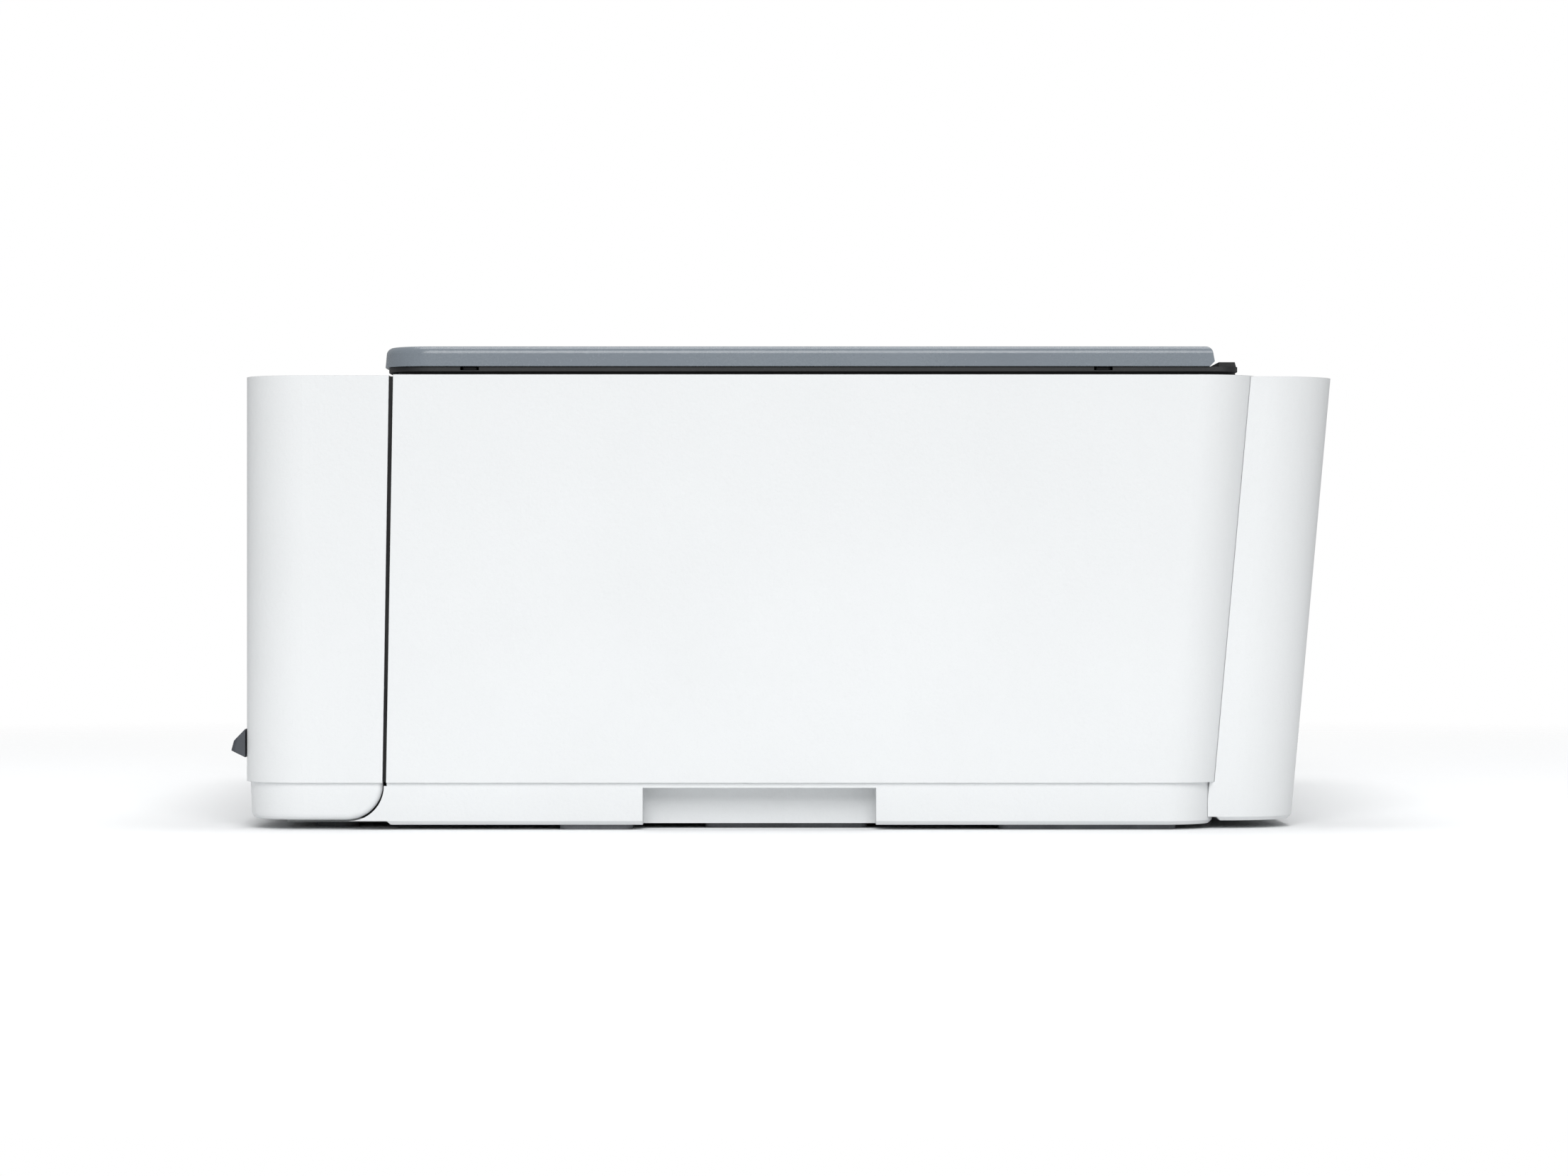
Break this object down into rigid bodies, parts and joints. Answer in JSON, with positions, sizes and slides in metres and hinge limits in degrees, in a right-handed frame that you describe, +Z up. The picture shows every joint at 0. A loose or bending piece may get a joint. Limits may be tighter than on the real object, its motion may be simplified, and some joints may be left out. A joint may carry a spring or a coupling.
{
  "type": "inkjet printer",
  "caption": "Flatbed all-in-one inkjet printer with ink tanks, rear paper input, front output tray, hinged scanner lid and a working print carriage and paper feed.",
  "frame": {"origin": "middle of the footprint, on the surface the printer stands on", "axes": "+X to the right as the user faces the printer, +Y towards its back, +Z up"},
  "size_m": [0.4348, 0.362, 0.157],
  "materials": {
    "white_shell": "fine pebbled moulded texture, satin",
    "lid_shell": "fine texture, satin blue-grey",
    "dark_trim": "fine texture, near-black",
    "tray_plastic": "satin dark blue-grey",
    "glossy_black": "polished",
    "display": "dark display glass",
    "button_plastic": "satin keys",
    "tank_plastic": "translucent natural polypropylene",
    "cap_plastic": "moulded caps",
    "smoked_window": "smoked clear plastic",
    "scan_glass": "clear float glass",
    "foam_white": "white lid pad",
    "rubber_pad": "soft matt rubber",
    "sheet_steel": "galvanised sheet",
    "steel_bar": "ground and polished bar",
    "roller_rubber": "ground rubber on steel shafts",
    "gear_plastic": "natural acetal",
    "black_engine": "black engineering plastic",
    "latch_blue": "blue touch point",
    "head_plastic": "printhead shells",
    "motor_can": "zinc plated cans",
    "belt_rubber": "toothed belt",
    "tube_plastic": "flexible ink tube",
    "board": "circuit board and connectors",
    "psu_case": "black moulded case"
  },
  "bodies": {
    "housing": {"base_pan": "white_shell", "main_housing": "white_shell", "front_bezel": "white_shell", "rear_hopper": "white_shell", "scanner_bezel": "dark_trim", "scanner_tub": "dark_trim", "control_fascia": "glossy_black", "display_window": "display", "ink_tanks": "tank_plastic", "tank_caps": "cap_plastic", "ink_window": "smoked_window", "scanner_glass": "scan_glass", "rubber_feet": "rubber_pad", "chassis": "sheet_steel", "guide_rod": "steel_bar", "scan_rod": "steel_bar", "lid_hinges": "steel_bar", "rear_screws": "steel_bar", "platen": "black_engine", "waste_tray": "black_engine", "feed_motor": "motor_can", "carriage_motor": "motor_can", "drive_belt": "belt_rubber", "ink_tubes": "tube_plastic", "main_board": "board", "power_supply": "psu_case"},
    "scanner_lid": {"scanner_lid": "lid_shell", "lid_backing": "foam_white"},
    "front_door": {"front_door": "white_shell"},
    "ink_tank_lid": {"ink_tank_lid": "white_shell"},
    "power_button": {"power_button": "button_plastic"},
    "wireless_button": {"wireless_button": "button_plastic"},
    "info_button": {"info_button": "button_plastic"},
    "cancel_button": {"cancel_button": "button_plastic"},
    "copy_black_button": {"copy_black_button": "button_plastic"},
    "copy_color_button": {"copy_color_button": "button_plastic"},
    "output_tray": {"output_tray": "tray_plastic"},
    "tray_extender": {"tray_extender": "tray_plastic"},
    "paper_support": {"paper_support": "white_shell"},
    "support_extension": {"support_extension": "tray_plastic"},
    "hopper_plate": {"hopper_plate": "tray_plastic"},
    "edge_guide_left": {"edge_guide_left": "tray_plastic"},
    "edge_guide_right": {"edge_guide_right": "tray_plastic"},
    "carriage": {"carriage": "black_engine", "printhead_black": "head_plastic", "printhead_color": "head_plastic"},
    "carriage_latch": {"carriage_latch": "latch_blue"},
    "feed_roller": {"feed_roller": "roller_rubber", "feed_gear": "gear_plastic"},
    "motor_pinion": {"motor_pinion": "gear_plastic"},
    "idler_gear": {"idler_gear": "gear_plastic"},
    "exit_roller": {"exit_roller": "roller_rubber"},
    "pinch_rollers": {"pinch_rollers": "gear_plastic"},
    "star_wheels": {"star_wheels": "gear_plastic"},
    "pick_idler": {"pick_idler": "gear_plastic"},
    "pick_roller": {"pick_roller": "roller_rubber"},
    "motor_pulley": {"motor_pulley": "motor_can"},
    "idler_pulley": {"idler_pulley": "gear_plastic"},
    "service_sled": {"service_sled": "black_engine"},
    "scan_bar": {"scan_bar": "black_engine"}
  },
  "joints": [
    {"name": "carriage_slide", "type": "slide", "parent": "housing", "child": "carriage", "axis": [-1, 0, 0], "range_m": [0, 0.285], "deforming": ["ink_tubes"]},
    {"name": "door_hinge", "type": "hinge", "parent": "housing", "child": "front_door", "pos_m": [0, -0.1744, 0.056], "axis": [1, 0, 0], "range_deg": [0, 90]},
    {"name": "extender_slide", "type": "slide", "parent": "output_tray", "child": "tray_extender", "axis": [0, -1, 0], "range_m": [0, 0.09]},
    {"name": "flatbed_lid_hinge", "type": "hinge", "parent": "housing", "child": "scanner_lid", "pos_m": [0, 0.1382, 0.1528], "axis": [-1, 0, 0], "range_deg": [0, 80]},
    {"name": "guide_left_slide", "type": "slide", "parent": "housing", "child": "edge_guide_left", "axis": [1, 0, 0], "range_m": [0, 0.054]},
    {"name": "guide_right_slide", "type": "slide", "parent": "housing", "child": "edge_guide_right", "axis": [-1, 0, 0], "range_m": [0, 0.054]},
    {"name": "hopper_plate_tilt", "type": "hinge", "parent": "housing", "child": "hopper_plate", "pos_m": [0, 0.1631, 0.104], "axis": [-1, 0, 0], "range_deg": [0, 4]},
    {"name": "ink_lid_hinge", "type": "hinge", "parent": "housing", "child": "ink_tank_lid", "pos_m": [0.153, -0.1342, 0.1456], "axis": [-1, 0, 0], "range_deg": [0, 80]},
    {"name": "input_extension_slide", "type": "slide", "parent": "paper_support", "child": "support_extension", "axis": [0, 0.0898, 0.996], "range_m": [0, 0.06]},
    {"name": "input_support_slide", "type": "slide", "parent": "housing", "child": "paper_support", "axis": [0, 0.0898, 0.996], "range_m": [0, 0.078]},
    {"name": "latch_hinge", "type": "hinge", "parent": "carriage", "child": "carriage_latch", "pos_m": [0.15, 0.0082, 0.078], "axis": [1, 0, 0], "range_deg": [0, 80]},
    {"name": "output_tray_slide", "type": "slide", "parent": "housing", "child": "output_tray", "axis": [0, -1, 0], "range_m": [0, 0.07]},
    {"name": "press_power", "type": "slide", "parent": "housing", "child": "power_button", "axis": [0, 0, -1], "range_m": [0, 0.0008], "stiffness_N_per_m": 400},
    {"name": "press_wireless", "type": "slide", "parent": "housing", "child": "wireless_button", "axis": [0, 0, -1], "range_m": [0, 0.0008], "stiffness_N_per_m": 400},
    {"name": "press_info", "type": "slide", "parent": "housing", "child": "info_button", "axis": [0, 0, -1], "range_m": [0, 0.0008], "stiffness_N_per_m": 400},
    {"name": "press_cancel", "type": "slide", "parent": "housing", "child": "cancel_button", "axis": [0, 0, -1], "range_m": [0, 0.0008], "stiffness_N_per_m": 400},
    {"name": "press_copy_black", "type": "slide", "parent": "housing", "child": "copy_black_button", "axis": [0, 0, -1], "range_m": [0, 0.0008], "stiffness_N_per_m": 400},
    {"name": "press_copy_color", "type": "slide", "parent": "housing", "child": "copy_color_button", "axis": [0, 0, -1], "range_m": [0, 0.0008], "stiffness_N_per_m": 400},
    {"name": "scan_bar_slide", "type": "slide", "parent": "housing", "child": "scan_bar", "axis": [1, 0, 0], "range_m": [0, 0.29]},
    {"name": "sled_slide", "type": "slide", "parent": "housing", "child": "service_sled", "axis": [0, 1, 0], "range_m": [0, 0.016]},
    {"name": "spin_feed_roller", "type": "hinge", "parent": "housing", "child": "feed_roller", "pos_m": [0, 0.09, 0.052], "axis": [1, 0, 0], "continuous": true},
    {"name": "spin_motor_pinion", "type": "hinge", "parent": "housing", "child": "motor_pinion", "pos_m": [0, 0.07, 0.03386], "axis": [1, 0, 0], "continuous": true},
    {"name": "spin_idler_gear", "type": "hinge", "parent": "housing", "child": "idler_gear", "pos_m": [0, 0.043, 0.052], "axis": [1, 0, 0], "continuous": true},
    {"name": "spin_exit_roller", "type": "hinge", "parent": "housing", "child": "exit_roller", "pos_m": [0, -0.004, 0.052], "axis": [1, 0, 0], "continuous": true},
    {"name": "spin_pinch_rollers", "type": "hinge", "parent": "housing", "child": "pinch_rollers", "pos_m": [0, 0.09, 0.0628], "axis": [1, 0, 0], "continuous": true},
    {"name": "spin_star_wheels", "type": "hinge", "parent": "housing", "child": "star_wheels", "pos_m": [0, -0.004, 0.0654], "axis": [1, 0, 0], "continuous": true},
    {"name": "spin_pick_idler", "type": "hinge", "parent": "housing", "child": "pick_idler", "pos_m": [0, 0.12036, 0.06494], "axis": [1, 0, 0], "continuous": true},
    {"name": "spin_pick_roller", "type": "hinge", "parent": "housing", "child": "pick_roller", "pos_m": [0, 0.13692, 0.072], "axis": [1, 0, 0], "continuous": true},
    {"name": "spin_motor_pulley", "type": "hinge", "parent": "housing", "child": "motor_pulley", "pos_m": [-0.181, 0.076, 0.1], "axis": [0, 1, 0], "continuous": true},
    {"name": "spin_idler_pulley", "type": "hinge", "parent": "housing", "child": "idler_pulley", "pos_m": [0.184, 0.076, 0.1], "axis": [0, 1, 0], "continuous": true}
  ],
  "couplings": [
    {"joint": "guide_right_slide", "follows": "guide_left_slide", "ratio": 1},
    {"joint": "spin_motor_pinion", "follows": "spin_feed_roller", "ratio": -4.4},
    {"joint": "spin_idler_gear", "follows": "spin_feed_roller", "ratio": -0.88},
    {"joint": "spin_exit_roller", "follows": "spin_feed_roller", "ratio": 1},
    {"joint": "spin_pinch_rollers", "follows": "spin_feed_roller", "ratio": -2},
    {"joint": "spin_star_wheels", "follows": "spin_feed_roller", "ratio": -1.1833},
    {"joint": "spin_pick_idler", "follows": "spin_feed_roller", "ratio": -2},
    {"joint": "spin_pick_roller", "follows": "spin_feed_roller", "ratio": 3.1429},
    {"joint": "spin_motor_pulley", "follows": "carriage_slide", "rad_per_m": 158.73},
    {"joint": "spin_idler_pulley", "follows": "carriage_slide", "rad_per_m": 158.73}
  ]
}
